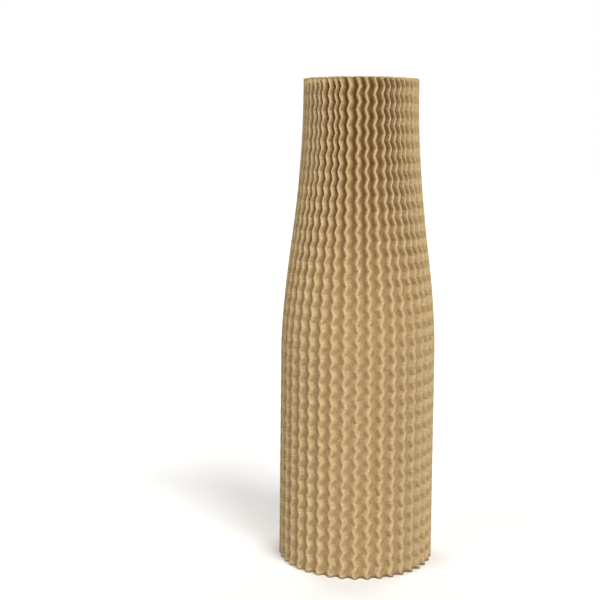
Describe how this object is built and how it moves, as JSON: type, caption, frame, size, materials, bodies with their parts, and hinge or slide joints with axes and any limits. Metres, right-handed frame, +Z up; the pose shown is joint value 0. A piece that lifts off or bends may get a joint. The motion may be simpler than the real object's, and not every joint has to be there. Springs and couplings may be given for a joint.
{
  "type": "corrugated bottle sleeve",
  "caption": "Tube of fluted kraft paper whose flutes zigzag as they rise, with a wide body and a drawn-in neck, that slips over a bottle to cushion it in a shipping pack.",
  "frame": {"origin": "middle of the foot, on the surface that the sleeve stands on", "axes": "+Z up the sleeve from the foot to the mouth, -Y to the front, with the flutes crowded at both sides of it at the mouth, and the glued lap seam at the back on +Y"},
  "size_m": [0.0912, 0.0911, 0.28],
  "materials": {
    "kraft_paper": "matt, uncoated"
  },
  "bodies": {
    "root": {"sleeve": "kraft_paper"}
  },
  "joints": []
}
